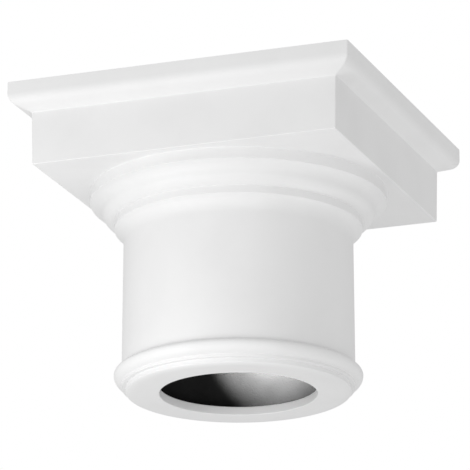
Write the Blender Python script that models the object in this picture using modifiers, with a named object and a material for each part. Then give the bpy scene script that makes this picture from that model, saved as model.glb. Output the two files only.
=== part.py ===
"""Doric capital, moulded in one piece: a square abacus over a round, hollow neck.

Metres, +Z up. The origin is the middle of the foot ring's underside, on the vertical axis.
X and Y run along the sides of the abacus. A projection is how far one moulding stands out
beyond the one that it is measured from, on every side.
"""
import math

import bpy

# Plain neck, slightly narrower at its top; its foot is what every other width is built up from
NECK_DIAMETER = 0.2190
NECK_TAPER = 0.0009
NECK_HEIGHT = 0.12265

# Cove, band, echinus and fillet over the neck, each measured from the one below it
COVE_PROJECTION = 0.0089
COVE_HEIGHT = 0.0152
COVE_SWEEP = math.radians(75)
BAND_HEIGHT = 0.0076
ECHINUS_FOOT_PROJECTION = 0.0007
ECHINUS_PROJECTION = 0.0223
ECHINUS_HEIGHT = 0.0183
ECHINUS_END = math.radians(84)
ECHINUS_HOLLOW_SHARE = 0.5
FILLET_HEIGHT = 0.0111

# Square abacus: a plain plinth, and a crown moulding of fillet, ovolo, slope and small cove
PLINTH_MARGIN = 0.0089
PLINTH_DRAFT = 0.0008
PLINTH_HEIGHT = 0.0496
CROWN_OVERHANG = 0.0176
CROWN_FILLET_HEIGHT = 0.0112
CROWN_OVOLO_PROJECTION = 0.0070
CROWN_OVOLO_HEIGHT = 0.0108
CROWN_SLOPE = math.radians(23)
CROWN_COVE_RADIUS = 0.0020

# Astragal at the foot: a large bead, a strip under it, a groove and a foot bead
BEAD_PROJECTION = 0.0074
BEAD_TOP_HEIGHT = 0.0054
BEAD_LOWER_HEIGHT = 0.0085
BEAD_LOWER_SETBACK = 0.0071
BEAD_SWEEP = math.radians(70)
STRIP_HEIGHT = 0.0030
FOOT_BEAD_SETBACK = 0.0041
FOOT_BEAD_HEIGHT = 0.0057
FOOT_ROUNDING_WIDTH = 0.0081
FOOT_ROUNDING_HEIGHT = 0.0021

# Hollow: a cavity closed at the top, and a lip around the opening at the foot
NECK_WALL = 0.0155
LIP_WIDTH = 0.0200
LIP_HEIGHT = 0.0085
TOP_THICKNESS = 0.0200

# Fineness of the curves, and how far forms run into or past each other
ROUND_STEPS = 48
SQUARE_STEPS = 4
ARC_STEP = math.radians(15)
MERGE_DISTANCE = 0.00001
ROOT_DEPTH = 0.0200
CUT_MARGIN = 0.0100
SMOOTH_ANGLE = math.radians(25)

PRIMER_WHITE = (0.86, 0.86, 0.86, 1.0)
PRIMER_ROUGHNESS = 0.55

# Radii of the round mouldings
NECK_FOOT = NECK_DIAMETER / 2
NECK_TOP = NECK_FOOT - NECK_TAPER
BAND = NECK_TOP + COVE_PROJECTION
ECHINUS_FOOT = BAND + ECHINUS_FOOT_PROJECTION
FILLET = ECHINUS_FOOT + ECHINUS_PROJECTION
BEAD = NECK_FOOT + BEAD_PROJECTION
STRIP = BEAD - BEAD_LOWER_SETBACK
FOOT_BEAD = STRIP - FOOT_BEAD_SETBACK
CAVITY = NECK_FOOT - NECK_WALL
OPENING = CAVITY - LIP_WIDTH

# Half sides of the square mouldings
PLINTH_FOOT = FILLET + PLINTH_MARGIN
PLINTH_TOP = PLINTH_FOOT + PLINTH_DRAFT
CROWN = PLINTH_TOP + CROWN_OVERHANG

# Levels, from the foot up
STRIP_LEVEL = FOOT_BEAD_HEIGHT + STRIP_HEIGHT
BEAD_LEVEL = STRIP_LEVEL + BEAD_LOWER_HEIGHT
NECK_FOOT_LEVEL = BEAD_LEVEL + BEAD_TOP_HEIGHT
NECK_TOP_LEVEL = NECK_FOOT_LEVEL + NECK_HEIGHT
BAND_LEVEL = NECK_TOP_LEVEL + COVE_HEIGHT
ECHINUS_LEVEL = BAND_LEVEL + BAND_HEIGHT
FILLET_LEVEL = ECHINUS_LEVEL + ECHINUS_HEIGHT
PLINTH_LEVEL = FILLET_LEVEL + FILLET_HEIGHT
CROWN_LEVEL = PLINTH_LEVEL + PLINTH_HEIGHT


def arc(centre, radii, start, end):
    """Points along an elliptical arc in the profile plane, 0 outwards and a quarter turn up."""
    steps = max(2, round(abs(end - start) / ARC_STEP))
    points = []
    for step in range(steps + 1):
        angle = start + (end - start) * step / steps
        across = centre[0] + radii[0] * math.cos(angle)
        up = centre[1] + radii[1] * math.sin(angle)
        points.append((across, up))
    return points


def ovolo(top, foot, sweep):
    """A convex curve that leaves its top point upright and turns inwards to its foot point."""
    across = (top[0] - foot[0]) / (1 - math.cos(sweep))
    down = (top[1] - foot[1]) / math.sin(sweep)
    return arc((top[0] - across, top[1]), (across, down), 0.0, -sweep)


def cavetto(top, foot, sweep):
    """A hollow curve that turns downwards from its top point and is upright at its foot point."""
    across = (top[0] - foot[0]) / (1 - math.cos(sweep))
    down = (top[1] - foot[1]) / math.sin(sweep)
    return arc((foot[0] + across, foot[1]), (across, down), math.pi - sweep, math.pi)


def cyma(top, foot, end, hollow_share):
    """An S-curve, hollow above and swelling below; both its ends face the same angle down."""
    width, height = top[0] - foot[0], top[1] - foot[1]
    middle = 2 * math.atan2(width, height) - end
    radius = width / (math.cos(middle) - math.cos(end))
    upper, lower = radius * hollow_share, radius * (1 - hollow_share)
    upper_centre = (top[0] + upper * math.cos(end), top[1] - upper * math.sin(end))
    lower_centre = (foot[0] - lower * math.cos(end), foot[1] + lower * math.sin(end))
    hollow = arc(upper_centre, (upper, upper), math.pi - end, math.pi - middle)
    return hollow + arc(lower_centre, (lower, lower), -middle, -end)[1:]


def crown_profile():
    """Crown moulding and plinth in section, from the middle of the top to the underside."""
    ovolo_foot = CROWN - CROWN_OVOLO_PROJECTION
    cove_centre = PLINTH_TOP + CROWN_COVE_RADIUS
    cove_start = math.pi / 2 + CROWN_SLOPE
    slope_foot = cove_centre + CROWN_COVE_RADIUS * math.cos(cove_start)
    slope_foot_level = CROWN_LEVEL + CROWN_COVE_RADIUS * math.sin(cove_start)
    ovolo_foot_level = slope_foot_level + (ovolo_foot - slope_foot) * math.tan(CROWN_SLOPE)
    ovolo_level = ovolo_foot_level + CROWN_OVOLO_HEIGHT
    top_level = ovolo_level + CROWN_FILLET_HEIGHT
    steepness = math.tan(CROWN_SLOPE) * CROWN_OVOLO_PROJECTION / CROWN_OVOLO_HEIGHT
    sweep = math.acos(steepness / (1 - steepness))
    profile = [(0.0, top_level), (CROWN, top_level)]
    profile += ovolo((CROWN, ovolo_level), (ovolo_foot, ovolo_foot_level), sweep)
    cove_radii = (CROWN_COVE_RADIUS, CROWN_COVE_RADIUS)
    profile += arc((cove_centre, CROWN_LEVEL), cove_radii, cove_start, math.pi)
    profile += [(PLINTH_FOOT, PLINTH_LEVEL), (0.0, PLINTH_LEVEL)]
    return profile


def echinus_profile():
    """Fillet, echinus, band and cove in section, down to the top of the neck."""
    echinus_foot = (ECHINUS_FOOT, ECHINUS_LEVEL)
    profile = cyma((FILLET, FILLET_LEVEL), echinus_foot, ECHINUS_END, ECHINUS_HOLLOW_SHARE)
    profile += [(BAND, ECHINUS_LEVEL)]
    profile += cavetto((BAND, BAND_LEVEL), (NECK_TOP, NECK_TOP_LEVEL), COVE_SWEEP)
    return profile


def astragal_profile():
    """Large bead, strip, groove and foot bead in section, from the neck to the underside."""
    bead_radii = (BEAD_PROJECTION, BEAD_TOP_HEIGHT)
    profile = arc((NECK_FOOT, BEAD_LEVEL), bead_radii, math.pi / 2, 0.0)
    profile += ovolo((BEAD, BEAD_LEVEL), (STRIP, STRIP_LEVEL), BEAD_SWEEP)[1:]
    profile += [(STRIP, FOOT_BEAD_HEIGHT), (FOOT_BEAD, FOOT_BEAD_HEIGHT)]
    rounding_centre = (FOOT_BEAD - FOOT_ROUNDING_WIDTH, FOOT_ROUNDING_HEIGHT)
    rounding_radii = (FOOT_ROUNDING_WIDTH, FOOT_ROUNDING_HEIGHT)
    profile += arc(rounding_centre, rounding_radii, 0.0, -math.pi / 2)
    return profile


def hollow_profile():
    """Cavity and opening in section, from under the closed top to below the foot."""
    top_level = crown_profile()[0][1]
    ceiling = top_level - TOP_THICKNESS
    return [
        (0.0, ceiling),
        (CAVITY, ceiling),
        (CAVITY, LIP_HEIGHT),
        (OPENING, LIP_HEIGHT),
        (OPENING, -CUT_MARGIN),
        (0.0, -CUT_MARGIN),
    ]


def turned(name, profile, steps, collection):
    """An object whose profile is turned about the vertical axis; four steps give a square."""
    edges = [(point, point + 1) for point in range(len(profile) - 1)]
    mesh = bpy.data.meshes.new(name)
    mesh.from_pydata([(across, 0.0, up) for across, up in profile], edges, [])
    form = bpy.data.objects.new(name, mesh)
    collection.objects.link(form)
    screw = form.modifiers.new("Turn", "SCREW")
    screw.steps = steps
    screw.render_steps = steps
    screw.use_merge_vertices = True
    screw.merge_threshold = MERGE_DISTANCE
    return form


def squared(name, profile, collection):
    """A square moulding with mitred corners: its profile is turned on the diagonal."""
    diagonal = [(across * math.sqrt(2), up) for across, up in profile]
    form = turned(name, diagonal, SQUARE_STEPS, collection)
    form.rotation_euler.z = math.pi / 4
    return form


def combine(target, form, operation):
    """Join a form to the target or cut it away, and keep the form as an unseen guide."""
    boolean = target.modifiers.new(form.name, "BOOLEAN")
    boolean.operation = operation
    boolean.object = form
    form.hide_render = True
    form.display_type = "WIRE"


def primer_material():
    """Satin white primer over the whole moulding."""
    material = bpy.data.materials.new("white_primer")
    material.use_nodes = True
    shader = material.node_tree.nodes["Principled BSDF"]
    shader.inputs["Base Color"].default_value = PRIMER_WHITE
    shader.inputs["Roughness"].default_value = PRIMER_ROUGHNESS
    shader.inputs["Metallic"].default_value = 0.0
    return material


def shade_by_angle(target):
    """Bake the modifiers, then shade the curves smooth and keep the arrises sharp."""
    evaluated = target.evaluated_get(bpy.context.evaluated_depsgraph_get())
    mesh = bpy.data.meshes.new_from_object(evaluated)
    target.modifiers.clear()
    target.data = mesh
    mesh.shade_smooth()
    mesh.set_sharp_from_angle(angle=SMOOTH_ANGLE)


def build_capital():
    """The whole capital: round body, square abacus joined on, hollow cut out."""
    parts = bpy.data.collections.new("doric_capital")
    forms = bpy.data.collections.new("doric_capital_forms")
    bpy.context.scene.collection.children.link(parts)
    bpy.context.scene.collection.children.link(forms)
    root_level = PLINTH_LEVEL + ROOT_DEPTH
    body_profile = [(0.0, root_level), (FILLET, root_level)]
    body_profile += echinus_profile() + astragal_profile() + [(0.0, 0.0)]
    capital = turned("capital", body_profile, ROUND_STEPS, parts)
    combine(capital, squared("abacus_form", crown_profile(), forms), "UNION")
    combine(capital, turned("hollow_form", hollow_profile(), ROUND_STEPS, forms), "DIFFERENCE")
    shade_by_angle(capital)
    capital.data.materials.clear()
    capital.data.materials.append(primer_material())
    return capital


for leftover in list(bpy.data.objects):
    bpy.data.objects.remove(leftover, do_unlink=True)
build_capital()
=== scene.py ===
"""A moulded Doric capital of primed rigid foam, and the stage that it is shown on.

The capital is one hollow moulding, so it is modelled as one closed skin: the round part is
drawn out ring by ring from a circle, the square abacus ring by ring from a plane, and the two
are bridged under the plinth. Every arris and inner corner has the small radius that a mould
leaves. Metres, +Z up, origin in the middle of the foot ring's underside.
"""

import math

import bpy
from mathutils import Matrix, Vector


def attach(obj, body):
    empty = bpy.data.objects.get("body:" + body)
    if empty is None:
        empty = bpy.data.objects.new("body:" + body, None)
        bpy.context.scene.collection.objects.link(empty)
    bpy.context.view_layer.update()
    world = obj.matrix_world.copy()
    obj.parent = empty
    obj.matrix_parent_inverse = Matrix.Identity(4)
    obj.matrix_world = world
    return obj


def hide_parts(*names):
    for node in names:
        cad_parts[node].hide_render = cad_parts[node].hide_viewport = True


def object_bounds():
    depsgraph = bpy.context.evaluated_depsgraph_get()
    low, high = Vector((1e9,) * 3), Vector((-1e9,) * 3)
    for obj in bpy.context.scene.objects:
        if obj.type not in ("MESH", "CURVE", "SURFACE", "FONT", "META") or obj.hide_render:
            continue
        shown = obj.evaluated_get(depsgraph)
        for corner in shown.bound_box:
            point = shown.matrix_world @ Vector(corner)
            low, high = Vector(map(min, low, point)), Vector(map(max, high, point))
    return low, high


bl_info = {
    "name": "Doric Capital",
    "version": (1, 0, 0),
    "blender": (4, 5, 0),
    "location": "3D View > Sidebar > Doric Capital",
    "description": "Models a moulded Doric capital, its primer and its stage",
    "category": "Add Mesh",
}

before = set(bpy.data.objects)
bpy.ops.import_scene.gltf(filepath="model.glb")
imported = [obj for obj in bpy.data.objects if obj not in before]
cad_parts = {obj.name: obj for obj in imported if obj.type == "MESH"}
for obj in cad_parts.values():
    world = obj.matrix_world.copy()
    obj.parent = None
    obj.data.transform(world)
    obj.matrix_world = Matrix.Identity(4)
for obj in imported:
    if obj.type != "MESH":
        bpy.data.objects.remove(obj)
CAD_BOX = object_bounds()
CAD_NODE = "capital"
CAD_BODY = "root"

# Fineness of the mesh: sides of the round part, steps along arcs, in eased corners of the
# section and in the square's upright corners. Only corners that turn by more are eased, and an
# easing takes at most the given share of the lines beside it.
ROUND_SIDES = 240
ARC_STEP = math.radians(6)
FEWEST_ARC_STEPS = 3
EASED_TURN = math.radians(18)
EASING_STEPS = 4
EASING_SHARE = 0.48
CORNER_SEGMENTS = 4

# How far the section runs on along a flat face, so that its last corner is eased too
LEDGE = 0.0020

# Places that are nearer than this are the same, and points that are nearer are merged
SAME_PLACE = 0.00005
MERGED_PLACE = 0.00001

# Upper limits of the settings
BRIGHTEST = 4.0
MOST_WATTS = 2000.0
LONGEST_LENS = 1000.0


def length(name, description, default):
    """A size that a user can change, in metres."""
    return bpy.props.FloatProperty(
        name=name, description=description, default=default, min=0.0, precision=5, unit="LENGTH"
    )


def angle(name, description, degrees):
    """An angle that a user can change."""
    return bpy.props.FloatProperty(
        name=name, description=description, default=math.radians(degrees), min=0.0, subtype="ANGLE"
    )


def colour(name, description, shade):
    """A colour that a user can change, from linear values."""
    return bpy.props.FloatVectorProperty(
        name=name, description=description, default=(*shade, 1.0), size=4, subtype="COLOR"
    )


def number(name, description, default, highest=1.0):
    """A plain number that a user can change."""
    return bpy.props.FloatProperty(
        name=name, description=description, default=default, min=0.0, max=highest, precision=4
    )


class DoricRoundSizes(bpy.types.PropertyGroup):
    """Sizes of the neck and of the round mouldings above it."""

    neck_diameter: length("Neck diameter", "Outside width of the neck at its foot", 0.2190)
    neck_taper: length("Neck taper", "How much the neck draws in towards its top", 0.0009)
    neck_height: length("Neck height", "Plain part of the neck", 0.12265)
    cove_projection: length("Cove projection", "Cove and band beyond the neck", 0.0089)
    cove_height: length("Cove height", "Height of the cove over the neck", 0.0152)
    cove_sweep: angle("Cove sweep", "How far the cove's curve turns", 75)
    band_height: length("Band height", "Height of the plain band", 0.0076)
    echinus_foot_projection: length("Echinus foot", "Echinus foot beyond the band", 0.0007)
    echinus_projection: length("Echinus projection", "Echinus top beyond its foot", 0.0223)
    echinus_height: length("Echinus height", "Height of the echinus", 0.0183)
    echinus_end: angle("Echinus ends", "How far down both ends of its curve face", 84)
    hollow_share: number("Hollow share", "Share of the hollow in the echinus's curve", 0.5)
    fillet_height: length("Fillet height", "Height of the fillet under the plinth", 0.0111)


class DoricAbacusSizes(bpy.types.PropertyGroup):
    """Sizes of the square plinth and of its crown moulding."""

    plinth_margin: length("Plinth margin", "Plinth side beyond the round fillet", 0.0089)
    plinth_draft: length("Plinth draft", "Plinth's top beyond its foot", 0.0008)
    plinth_height: length("Plinth height", "Height of the plain plinth", 0.0496)
    crown_overhang: length("Crown overhang", "Crown moulding beyond the plinth", 0.0176)
    fillet_height: length("Crown fillet", "Upright band at the very top", 0.0112)
    ovolo_projection: length("Ovolo projection", "How far the crown's ovolo turns in", 0.0070)
    ovolo_height: length("Ovolo height", "Height of the crown's ovolo", 0.0108)
    slope: angle("Slope", "Rise of the slope between ovolo and cove", 23)
    cove_radius: length("Cove radius", "Small cove between the slope and the plinth", 0.0020)


class DoricFootSizes(bpy.types.PropertyGroup):
    """Sizes of the beads at the foot and of the hollow."""

    bead_projection: length("Bead projection", "Large bead beyond the neck", 0.0074)
    bead_top_height: length("Bead top height", "Upper part of the large bead", 0.0054)
    bead_lower_height: length("Bead lower height", "Lower part of the large bead", 0.0085)
    bead_lower_setback: length("Bead setback", "How far its lower part turns in", 0.0071)
    bead_sweep: angle("Bead sweep", "How far its lower curve turns", 70)
    strip_height: length("Strip height", "Narrow strip under the large bead", 0.0030)
    foot_bead_setback: length("Foot bead setback", "Foot bead inside the strip", 0.0041)
    foot_bead_height: length("Foot bead height", "Foot bead from the underside", 0.0057)
    rounding_width: length("Foot rounding width", "Rounding under the foot bead", 0.0081)
    rounding_height: length("Foot rounding height", "Rounding under the foot bead", 0.0021)
    neck_wall: length("Neck wall", "Thickness of the neck's wall", 0.0155)
    lip_width: length("Lip width", "Lip inside the neck's wall", 0.0200)
    lip_height: length("Lip height", "Thickness of the lip", 0.0085)
    top_thickness: length("Top thickness", "Thickness of the closed top", 0.0200)


class DoricFinish(bpy.types.PropertyGroup):
    """Edges and surfaces."""

    arris_radius: length("Arris radius", "Rounding of the arrises and corners", 0.0011)
    crisp_radius: length("Crisp radius", "Rounding of the inner corners at the foot", 0.0002)
    primer: colour("Primer", "Satin white primer", (0.86, 0.86, 0.86))
    primer_shade: colour("Primer, thin coat", "Primer on its thin places", (0.82, 0.82, 0.82))
    primer_roughness: number("Primer roughness", "Satin sheen of the primer", 0.50)
    # The two foam colours are painted shade: near black, so that the whole hollow inside the neck
    # reads dark
    foam: colour("Bare foam", "Unprimed foam inside", (0.028, 0.028, 0.028))
    painted_shade_foam_darker: colour("Bare foam, pores", "Open pores of the foam", (0.0215, 0.0215, 0.0215))
    foam_roughness: number("Foam roughness", "Dull surface of the foam", 0.90)
    foam_specular: number("Foam specular", "Faint gloss of the foam", 0.045)


class DoricStage(bpy.types.PropertyGroup):
    """Floor, lights and camera."""

    floor: colour("Floor", "Plain pale floor", (0.88, 0.88, 0.88))
    backdrop: number("Backdrop", "Brightness of the white surroundings", 1.0, BRIGHTEST)
    ambient: number("Ambient", "Soft light from all around", 0.605, BRIGHTEST)
    key_power: number("Key light", "Watts, near, low in front on the left", 1.54, MOST_WATTS)
    front_power: number("Front light", "Watts, wide, low in front on the right", 22.0, MOST_WATTS)
    back_power: number("Back light", "Watts, low behind on the right", 0.72, MOST_WATTS)
    top_power: number("Top light", "Watts, wide and overhead", 50.0, MOST_WATTS)
    hollow_power: number("Hollow light", "Watts, small, inside the neck", 0.90, MOST_WATTS)
    lens: number("Lens", "Focal length of the camera in millimetres", 345.96, LONGEST_LENS)


class Section:
    """Radii, half sides and levels of the mouldings, each built up from its neighbour."""

    def __init__(self, scene):
        rounds, abacus, foot = scene.doric_round, scene.doric_abacus, scene.doric_foot
        self.neck_foot = rounds.neck_diameter / 2
        self.neck_top = self.neck_foot - rounds.neck_taper
        self.band = self.neck_top + rounds.cove_projection
        self.echinus_foot = self.band + rounds.echinus_foot_projection
        self.fillet = self.echinus_foot + rounds.echinus_projection
        self.plinth_foot = self.fillet + abacus.plinth_margin
        self.plinth_top = self.plinth_foot + abacus.plinth_draft
        self.crown = self.plinth_top + abacus.crown_overhang
        self.bead = self.neck_foot + foot.bead_projection
        self.strip = self.bead - foot.bead_lower_setback
        self.foot_bead = self.strip - foot.foot_bead_setback
        self.cavity = self.neck_foot - foot.neck_wall
        self.opening = self.cavity - foot.lip_width
        self.groove_level = foot.foot_bead_height
        self.strip_level = self.groove_level + foot.strip_height
        self.bead_level = self.strip_level + foot.bead_lower_height
        self.neck_foot_level = self.bead_level + foot.bead_top_height
        self.neck_top_level = self.neck_foot_level + rounds.neck_height
        self.band_level = self.neck_top_level + rounds.cove_height
        self.echinus_level = self.band_level + rounds.band_height
        self.fillet_level = self.echinus_level + rounds.echinus_height
        self.plinth_level = self.fillet_level + rounds.fillet_height
        self.crown_level = self.plinth_level + abacus.plinth_height


def arc(centre, radii, start, end):
    """Points along an elliptical arc in the section, 0 outwards and a quarter turn up."""
    steps = max(FEWEST_ARC_STEPS, round(abs(end - start) / ARC_STEP))
    points = []
    for step in range(steps + 1):
        turn = start + (end - start) * step / steps
        across, up = radii[0] * math.cos(turn), radii[1] * math.sin(turn)
        points.append((centre[0] + across, centre[1] + up))
    return points


def ovolo(top, foot, sweep):
    """A convex curve that leaves its top point upright and turns inwards to its foot point."""
    across = (top[0] - foot[0]) / (1 - math.cos(sweep))
    down = (top[1] - foot[1]) / math.sin(sweep)
    return arc((top[0] - across, top[1]), (across, down), 0.0, -sweep)


def cavetto(top, foot, sweep):
    """A hollow curve that turns downwards from its top point and is upright at its foot point."""
    across = (top[0] - foot[0]) / (1 - math.cos(sweep))
    down = (top[1] - foot[1]) / math.sin(sweep)
    return arc((foot[0] + across, foot[1]), (across, down), math.pi - sweep, math.pi)


def cyma(top, foot, end, hollow_share):
    """An S-curve, hollow above and swelling below; both its ends face the same angle down."""
    width, height = top[0] - foot[0], top[1] - foot[1]
    middle = 2 * math.atan2(width, height) - end
    radius = width / (math.cos(middle) - math.cos(end))
    upper, lower = radius * hollow_share, radius * (1 - hollow_share)
    upper_centre = (top[0] + upper * math.cos(end), top[1] - upper * math.sin(end))
    lower_centre = (foot[0] - lower * math.cos(end), foot[1] + lower * math.sin(end))
    hollow = arc(upper_centre, (upper, upper), math.pi - end, math.pi - middle)
    return hollow + arc(lower_centre, (lower, lower), -middle, -end)[1:]


def eased(points, finish, crisp=()):
    """The same section with its corners slightly rounded, the crisp ones hardly."""
    places = [Vector(point) for point in points]
    result = [places[0]]
    for before, corner, after in zip(places, places[1:], places[2:]):
        back, onward = before - corner, after - corner
        turn = math.pi - back.angle(onward)
        if turn < EASED_TURN:
            result.append(corner)
            continue
        tight = any((corner - Vector(place)).length < SAME_PLACE for place in crisp)
        radius = finish.crisp_radius if tight else finish.arris_radius
        room = EASING_SHARE * min(back.length, onward.length)
        cut = min(radius * math.tan(turn / 2), room)
        start = corner + back.normalized() * cut
        end = corner + onward.normalized() * cut
        for step in range(EASING_STEPS + 1):
            along = step / EASING_STEPS
            first = start.lerp(corner, along)
            second = corner.lerp(end, along)
            result.append(first.lerp(second, along))
    result.append(places[-1])
    return [tuple(place) for place in result]


def round_section(scene):
    """Section of the round part, from under the plinth, down, and up inside to the ceiling."""
    section, rounds, foot = Section(scene), scene.doric_round, scene.doric_foot
    points = [
        (section.fillet + LEDGE, section.plinth_level),
        (section.fillet, section.plinth_level),
    ]
    points += cyma(
        (section.fillet, section.fillet_level),
        (section.echinus_foot, section.echinus_level),
        rounds.echinus_end,
        rounds.hollow_share,
    )
    points.append((section.band, section.echinus_level))
    points += cavetto(
        (section.band, section.band_level),
        (section.neck_top, section.neck_top_level),
        rounds.cove_sweep,
    )
    bead_radii = (foot.bead_projection, foot.bead_top_height)
    points += arc((section.neck_foot, section.bead_level), bead_radii, math.pi / 2, 0.0)
    points += ovolo(
        (section.bead, section.bead_level),
        (section.strip, section.strip_level),
        foot.bead_sweep,
    )[1:]
    points += [
        (section.strip, section.groove_level),
        (section.foot_bead, section.groove_level),
    ]
    rounding_centre = (section.foot_bead - foot.rounding_width, foot.rounding_height)
    rounding_radii = (foot.rounding_width, foot.rounding_height)
    points += arc(rounding_centre, rounding_radii, 0.0, -math.pi / 2)
    ceiling = CAD_BOX[1].z - foot.top_thickness
    points += [
        (section.opening, 0.0),
        (section.opening, foot.lip_height),
        (section.cavity, foot.lip_height),
        (section.cavity, ceiling),
        (section.cavity - LEDGE, ceiling),
    ]
    return points


def crisp_corners(scene):
    """The inner corners of the round part that a mould leaves nearly sharp."""
    section = Section(scene)
    return (
        (section.neck_foot, section.neck_foot_level),
        (section.foot_bead, section.groove_level),
    )


def square_section(scene):
    """Section of the abacus, from under the plinth up to the flat top."""
    section, abacus = Section(scene), scene.doric_abacus
    cove_centre = section.plinth_top + abacus.cove_radius
    cove_end = math.pi / 2 + abacus.slope
    slope_foot = cove_centre + abacus.cove_radius * math.cos(cove_end)
    slope_level = section.crown_level + abacus.cove_radius * math.sin(cove_end)
    ovolo_foot = section.crown - abacus.ovolo_projection
    ovolo_foot_level = slope_level + (ovolo_foot - slope_foot) * math.tan(abacus.slope)
    ovolo_level = ovolo_foot_level + abacus.ovolo_height
    top_level = ovolo_level + abacus.fillet_height
    steepness = math.tan(abacus.slope) * abacus.ovolo_projection / abacus.ovolo_height
    sweep = math.acos(steepness / (1 - steepness))
    points = [
        (section.plinth_foot - LEDGE, section.plinth_level),
        (section.plinth_foot, section.plinth_level),
    ]
    cove_radii = (abacus.cove_radius, abacus.cove_radius)
    points += arc((cove_centre, section.crown_level), cove_radii, math.pi, cove_end)
    curve = ovolo((section.crown, ovolo_level), (ovolo_foot, ovolo_foot_level), sweep)
    points += curve[::-1]
    points += [(section.crown, top_level), (section.crown - LEDGE, top_level)]
    return points


def start_afresh():
    """Leave edit mode and select nothing."""
    if bpy.context.mode != "OBJECT":
        bpy.ops.object.mode_set(mode="OBJECT")
    bpy.ops.object.select_all(action="DESELECT")


def draw_out(section):
    """Extrude the selected ring in edit mode through each half width and level of a section."""
    width, level = section[0]
    for next_width, next_level in section[1:]:
        rise = (0.0, 0.0, next_level - level)
        bpy.ops.mesh.extrude_region_move(TRANSFORM_OT_translate={"value": rise})
        growth = (next_width / width, next_width / width, 1.0)
        bpy.ops.transform.resize(value=growth, center_override=(0.0, 0.0, next_level))
        width, level = next_width, next_level


def model_round_part(scene):
    """The fillet, echinus, neck and foot, and the hollow inside, closed at its ceiling."""
    section = eased(round_section(scene), scene.doric_finish, crisp_corners(scene))
    width, level = section[0]
    bpy.ops.mesh.primitive_circle_add(vertices=ROUND_SIDES, radius=width, location=(0, 0, level))
    part = bpy.context.object
    part.name = "round_part"
    bpy.ops.object.transform_apply(location=True, rotation=True, scale=True)
    bpy.ops.object.mode_set(mode="EDIT")
    draw_out(section)
    bpy.ops.mesh.edge_face_add()
    bpy.ops.object.mode_set(mode="OBJECT")
    return part


def model_square_part(scene):
    """The plinth and its crown moulding, closed at the top, with slightly rounded corners."""
    section = eased(square_section(scene), scene.doric_finish)
    width, level = section[0]
    bpy.ops.mesh.primitive_plane_add(size=2 * width, location=(0, 0, level))
    part = bpy.context.object
    part.name = "square_part"
    bpy.ops.object.transform_apply(location=True, rotation=True, scale=True)
    bpy.ops.object.mode_set(mode="EDIT")
    bpy.ops.mesh.bevel(
        offset=scene.doric_finish.arris_radius, segments=CORNER_SEGMENTS, affect="VERTICES"
    )
    bpy.ops.mesh.select_all(action="SELECT")
    bpy.ops.mesh.delete(type="ONLY_FACE")
    bpy.ops.mesh.select_all(action="SELECT")
    draw_out(section)
    bpy.ops.mesh.edge_face_add()
    bpy.ops.object.mode_set(mode="OBJECT")
    return part


def bridge_parts(upper, lower, name):
    """Join the two parts and bridge the gap between them under the plinth."""
    start_afresh()
    lower.select_set(True)
    upper.select_set(True)
    bpy.context.view_layer.objects.active = lower
    bpy.ops.object.join()
    whole = bpy.context.object
    whole.name = name
    whole.data.name = name
    bpy.ops.object.mode_set(mode="EDIT")
    bpy.ops.mesh.select_mode(type="EDGE")
    bpy.ops.mesh.select_all(action="DESELECT")
    bpy.ops.mesh.select_non_manifold(
        use_wire=False, use_multi_face=False, use_non_contiguous=False, use_verts=False
    )
    bpy.ops.mesh.bridge_edge_loops()
    bpy.ops.mesh.select_all(action="SELECT")
    bpy.ops.mesh.remove_doubles(threshold=MERGED_PLACE)
    bpy.ops.mesh.normals_make_consistent(inside=False)
    bpy.ops.object.mode_set(mode="OBJECT")
    return whole


def finish_mesh(whole, scene, outside, inside):
    """Give the hollow its bare foam, near black as painted shade, and the rest its primer, and
    shade the flats truly flat.
    """
    widest = Section(scene).cavity + SAME_PLACE
    lowest = scene.doric_foot.lip_height - SAME_PLACE
    highest = CAD_BOX[1].z - SAME_PLACE
    whole.data.materials.append(outside)
    whole.data.materials.append(inside)
    for face in whole.data.polygons:
        radius = math.hypot(face.center.x, face.center.y)
        face.material_index = int(radius < widest and lowest < face.center.z < highest)
    bpy.ops.object.shade_smooth()
    bpy.ops.object.modifier_add(type="WEIGHTED_NORMAL")
    bpy.ops.object.modifier_apply(modifier=whole.modifiers[-1].name)


# Surface textures: the scales of the grain, the clouding and the pores, the range of the
# clouding over which the colour drifts, and the strength and depth in metres of the bump
TEXTURE_SCALES = ("Grain Scale", "Cloud Scale", "Pore Scale")
GRAIN_DETAIL = 3.0
CLOUD_DETAIL = 4.0
PORE_RANGE = (0.05, 0.45)
PRIMER_SCALES = (1100.0, 14.0, 500.0)
PRIMER_DRIFT = (0.45, 0.80)
PRIMER_BUMP = (0.10, 0.0002)
FOAM_SCALES = (700.0, 40.0, 420.0)
FOAM_DRIFT = (0.35, 0.75)
FOAM_BUMP = (0.35, 0.0005)
ROUGHNESS_DRIFT = 0.08
FLOOR_ROUGHNESS = 0.9


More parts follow.
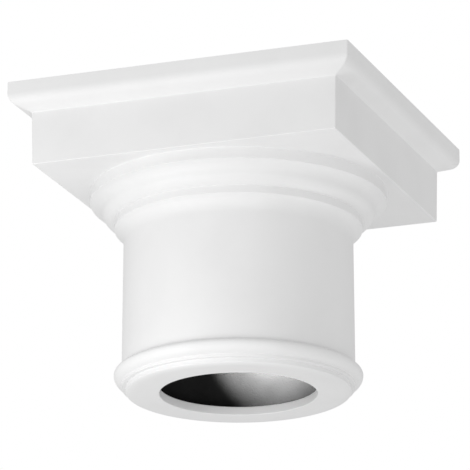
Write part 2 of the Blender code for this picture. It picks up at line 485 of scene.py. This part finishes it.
def fine_texture_group():
    """Grain of a sprayed or moulded surface: a fine grain, a broad clouding and small pores."""
    group = bpy.data.node_groups.new("fine_texture", "ShaderNodeTree")
    group.interface.new_socket("Position", in_out="INPUT", socket_type="NodeSocketVector")
    for name in TEXTURE_SCALES:
        group.interface.new_socket(name, in_out="INPUT", socket_type="NodeSocketFloat")
    for name in ("Grain", "Clouding", "Pores"):
        group.interface.new_socket(name, in_out="OUTPUT", socket_type="NodeSocketFloat")
    nodes, links = group.nodes, group.links
    given, result = nodes.new("NodeGroupInput"), nodes.new("NodeGroupOutput")
    grain, cloud = nodes.new("ShaderNodeTexNoise"), nodes.new("ShaderNodeTexNoise")
    pores = nodes.new("ShaderNodeTexVoronoi")
    grain.inputs["Detail"].default_value = GRAIN_DETAIL
    cloud.inputs["Detail"].default_value = CLOUD_DETAIL
    for node, scale in zip((grain, cloud, pores), TEXTURE_SCALES):
        links.new(given.outputs["Position"], node.inputs["Vector"])
        links.new(given.outputs[scale], node.inputs["Scale"])
    deep = nodes.new("ShaderNodeMapRange")
    deep.inputs["From Min"].default_value = PORE_RANGE[0]
    deep.inputs["From Max"].default_value = PORE_RANGE[1]
    links.new(pores.outputs["Distance"], deep.inputs["Value"])
    links.new(grain.outputs["Fac"], result.inputs["Grain"])
    links.new(cloud.outputs["Fac"], result.inputs["Clouding"])
    links.new(deep.outputs["Result"], result.inputs["Pores"])
    return group


def surface_material(name, group, scales, main_colour, second_colour, drift_range):
    """A material whose colour drifts with the clouding, and its nodes for further work."""
    material = bpy.data.materials.new(name)
    material.use_nodes = True
    nodes, links = material.node_tree.nodes, material.node_tree.links
    shader = nodes["Principled BSDF"]
    place = nodes.new("ShaderNodeTexCoord")
    texture = nodes.new("ShaderNodeGroup")
    texture.node_tree = group
    for socket, scale in zip(TEXTURE_SCALES, scales):
        texture.inputs[socket].default_value = scale
    links.new(place.outputs["Object"], texture.inputs["Position"])
    drift = nodes.new("ShaderNodeMapRange")
    drift.inputs["From Min"].default_value = drift_range[0]
    drift.inputs["From Max"].default_value = drift_range[1]
    links.new(texture.outputs["Clouding"], drift.inputs["Value"])
    mix = nodes.new("ShaderNodeMix")
    mix.data_type = "RGBA"
    mix.inputs["A"].default_value = main_colour
    mix.inputs["B"].default_value = second_colour
    links.new(drift.outputs["Result"], mix.inputs["Factor"])
    links.new(mix.outputs["Result"], shader.inputs["Base Color"])
    return material, shader, texture, drift


def add_bump(material, shader, height, bump_sizes):
    """Raise the surface by a texture's height."""
    nodes, links = material.node_tree.nodes, material.node_tree.links
    bump = nodes.new("ShaderNodeBump")
    bump.inputs["Strength"].default_value = bump_sizes[0]
    bump.inputs["Distance"].default_value = bump_sizes[1]
    links.new(height, bump.inputs["Height"])
    links.new(bump.outputs["Normal"], shader.inputs["Normal"])


def vary_roughness(material, shader, mask, lowest, highest):
    """Let the roughness follow a mask between two values."""
    nodes, links = material.node_tree.nodes, material.node_tree.links
    spread = nodes.new("ShaderNodeMapRange")
    spread.inputs["To Min"].default_value = lowest
    spread.inputs["To Max"].default_value = highest
    links.new(mask, spread.inputs["Value"])
    links.new(spread.outputs["Result"], shader.inputs["Roughness"])


def primer_material(finish, group):
    """Satin white primer: nearly even, with a breath of clouding and a fine sprayed grain."""
    material, shader, texture, drift = surface_material(
        "white_primer", group, PRIMER_SCALES, finish.primer, finish.primer_shade, PRIMER_DRIFT
    )
    lowest = finish.primer_roughness
    highest = lowest + ROUGHNESS_DRIFT
    vary_roughness(material, shader, drift.outputs["Result"], lowest, highest)
    add_bump(material, shader, texture.outputs["Grain"], PRIMER_BUMP)
    return material


def painted_shade_foam_material(finish, group):
    """Bare moulded foam inside: dull and open-pored, its near-black colour painted shade that
    darkens the hollow.
    """
    material, shader, texture, drift = surface_material(
        "painted_shade_dark_foam", group, FOAM_SCALES, finish.foam, finish.painted_shade_foam_darker, FOAM_DRIFT
    )
    highest = finish.foam_roughness
    lowest = highest - ROUGHNESS_DRIFT
    vary_roughness(material, shader, drift.outputs["Result"], lowest, highest)
    shader.inputs["Specular IOR Level"].default_value = finish.foam_specular
    add_bump(material, shader, texture.outputs["Pores"], FOAM_BUMP)
    return material


def floor_material(shade):
    """Matt pale floor that is seen from above only, so that a low camera looks past it."""
    material = bpy.data.materials.new("pale_floor")
    material.use_nodes = True
    nodes, links = material.node_tree.nodes, material.node_tree.links
    shader = nodes["Principled BSDF"]
    shader.inputs["Base Color"].default_value = shade
    shader.inputs["Roughness"].default_value = FLOOR_ROUGHNESS
    side = nodes.new("ShaderNodeNewGeometry")
    clear = nodes.new("ShaderNodeBsdfTransparent")
    choice = nodes.new("ShaderNodeMixShader")
    links.new(side.outputs["Backfacing"], choice.inputs["Fac"])
    links.new(shader.outputs["BSDF"], choice.inputs[1])
    links.new(clear.outputs["BSDF"], choice.inputs[2])
    links.new(choice.outputs["Shader"], nodes["Material Output"].inputs["Surface"])
    return material


FLOOR_SIZE = 12.0
FLOOR_LEVEL = -0.001

# The camera's place, the direction in which it looks, its sensor's width in millimetres, and the
# nearest and farthest that it sees
CAMERA_PLACE = (1.4151, -3.8193, -1.1318)
CAMERA_LOOK = (-0.33198, 0.89378, 0.30154)
CAMERA_SENSOR = 36.0
CAMERA_CLIP = (0.1, 100.0)

# Soft lights: azimuth from the front to the right and elevation, in degrees, and the distance
# from the middle of the capital in metres. Each is as wide as a set share of its distance.
KEY_PLACE = (-30.0, -30.0, 0.7)
FRONT_PLACE = (30.0, -30.0, 3.5)
BACK_PLACE = (140.0, -30.0, 0.9)
TOP_PLACE = (0.0, 90.0, 3.5)
LIGHT_WIDTH_SHARE = 0.686

# The small light inside the neck, which faces the back wall a little to the right
HOLLOW_LIGHT_PLACE = (-0.0051, 0.0295, 0.0550)
HOLLOW_LIGHT_DIRECTION = (166.0, 24.0)
HOLLOW_LIGHT_SIZE = 0.024
HOLLOW_LIGHT_SPREAD = math.radians(134)


def add_floor(stage):
    """A wide flat floor just under the capital."""
    start_afresh()
    bpy.ops.mesh.primitive_plane_add(size=FLOOR_SIZE, location=(0, 0, FLOOR_LEVEL))
    floor = bpy.context.object
    floor.name = "stage_floor"
    floor.data.materials.append(floor_material(stage.floor))
    floor.visible_shadow = False
    floor.visible_diffuse = False
    floor.visible_glossy = False


def towards(direction):
    """The unit vector of an azimuth from the front to the right and an elevation, in degrees."""
    turn, lift = (math.radians(part) for part in direction)
    level = math.cos(lift)
    return Vector((math.sin(turn) * level, -math.cos(turn) * level, math.sin(lift)))


def add_light(name, place, facing, size, power):
    """A round soft light that the camera doesn't see."""
    bpy.ops.object.light_add(type="AREA", location=place)
    lamp = bpy.context.object
    lamp.name = name
    lamp.rotation_euler = facing.to_track_quat("-Z", "Y").to_euler()
    lamp.data.shape = "DISK"
    lamp.data.size = size
    lamp.data.energy = power
    lamp.visible_camera = False
    return lamp


def add_lights(stage):
    """Soft lights that face the middle of the capital, and a small one in its hollow."""
    middle = Vector((0, 0, CAD_BOX[1].z / 2))
    for name, (azimuth, elevation, distance), power in (
        ("key_light", KEY_PLACE, stage.key_power),
        ("front_light", FRONT_PLACE, stage.front_power),
        ("back_light", BACK_PLACE, stage.back_power),
        ("top_light", TOP_PLACE, stage.top_power),
    ):
        out = towards((azimuth, elevation))
        add_light(name, middle + out * distance, -out, LIGHT_WIDTH_SHARE * distance, power)
    facing = towards(HOLLOW_LIGHT_DIRECTION)
    lamp = add_light(
        "hollow_light", HOLLOW_LIGHT_PLACE, facing, HOLLOW_LIGHT_SIZE, stage.hollow_power
    )
    lamp.data.spread = HOLLOW_LIGHT_SPREAD


def set_surroundings(stage):
    """White surroundings for the camera, with a softer level of light on the capital."""
    world = bpy.data.worlds.new("plain_surroundings")
    bpy.context.scene.world = world
    world.use_nodes = True
    nodes, links = world.node_tree.nodes, world.node_tree.links
    lit = nodes["Background"]
    lit.inputs["Strength"].default_value = stage.ambient
    seen = nodes.new("ShaderNodeBackground")
    for background in (lit, seen):
        background.inputs["Color"].default_value = (1.0, 1.0, 1.0, 1.0)
    seen.inputs["Strength"].default_value = stage.backdrop
    ray = nodes.new("ShaderNodeLightPath")
    choice = nodes.new("ShaderNodeMixShader")
    links.new(ray.outputs["Is Camera Ray"], choice.inputs["Fac"])
    links.new(lit.outputs["Background"], choice.inputs[1])
    links.new(seen.outputs["Background"], choice.inputs[2])
    links.new(choice.outputs["Shader"], nodes["World Output"].inputs["Surface"])


def add_camera(stage):
    """The camera looks up at the capital from the front and a little to the right."""
    look = Vector(CAMERA_LOOK)
    rotation = look.to_track_quat("-Z", "Y").to_euler()
    bpy.ops.object.camera_add(location=CAMERA_PLACE, rotation=rotation)
    camera = bpy.context.object
    camera.data.sensor_width = CAMERA_SENSOR
    camera.data.lens = stage.lens
    camera.data.clip_start, camera.data.clip_end = CAMERA_CLIP
    bpy.context.scene.camera = camera


class DORIC_OT_model_capital(bpy.types.Operator):
    """Model the hollow capital as one skin, with primer outside and bare foam inside, near black
    as painted shade of the hollow
    """

    bl_idname = "doric.model_capital"
    bl_label = "Model Capital"

    def execute(self, context):
        scene = context.scene
        start_afresh()
        lower = model_round_part(scene)
        start_afresh()
        upper = model_square_part(scene)
        whole = bridge_parts(upper, lower, "moulded_capital")
        group = fine_texture_group()
        finish = scene.doric_finish
        finish_mesh(whole, scene, primer_material(finish, group), painted_shade_foam_material(finish, group))
        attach(whole, CAD_BODY)
        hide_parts(CAD_NODE)
        return {"FINISHED"}


class DORIC_OT_set_stage(bpy.types.Operator):
    """Lay the floor, set the lights and place the camera"""

    bl_idname = "doric.set_stage"
    bl_label = "Set Stage"

    def execute(self, context):
        stage = context.scene.doric_stage
        context.scene.view_settings.view_transform = "Standard"
        add_floor(stage)
        start_afresh()
        add_lights(stage)
        set_surroundings(stage)
        add_camera(stage)
        return {"FINISHED"}


GROUPS = {
    "doric_round": DoricRoundSizes,
    "doric_abacus": DoricAbacusSizes,
    "doric_foot": DoricFootSizes,
    "doric_finish": DoricFinish,
    "doric_stage": DoricStage,
}


class DORIC_PT_panel(bpy.types.Panel):
    """Sizes, finish and stage of the capital"""

    bl_label = "Doric Capital"
    bl_idname = "DORIC_PT_panel"
    bl_space_type = "VIEW_3D"
    bl_region_type = "UI"
    bl_category = "Doric Capital"

    def draw(self, context):
        layout = self.layout
        layout.operator(DORIC_OT_model_capital.bl_idname)
        layout.operator(DORIC_OT_set_stage.bl_idname)
        for name, kind in GROUPS.items():
            box = layout.box()
            for setting in kind.__annotations__:
                box.prop(getattr(context.scene, name), setting)


CLASSES = (*GROUPS.values(), DORIC_OT_model_capital, DORIC_OT_set_stage, DORIC_PT_panel)


def register():
    """Make the settings, operators and panel known to Blender."""
    for item in CLASSES:
        bpy.utils.register_class(item)
    for name, kind in GROUPS.items():
        setattr(bpy.types.Scene, name, bpy.props.PointerProperty(type=kind))


def unregister():
    """Take them away again."""
    for name in GROUPS:
        delattr(bpy.types.Scene, name)
    for item in reversed(CLASSES):
        bpy.utils.unregister_class(item)


def main():
    """Build everything in order."""
    register()
    bpy.ops.doric.model_capital()
    bpy.ops.doric.set_stage()


if __name__ == "__main__":
    main()
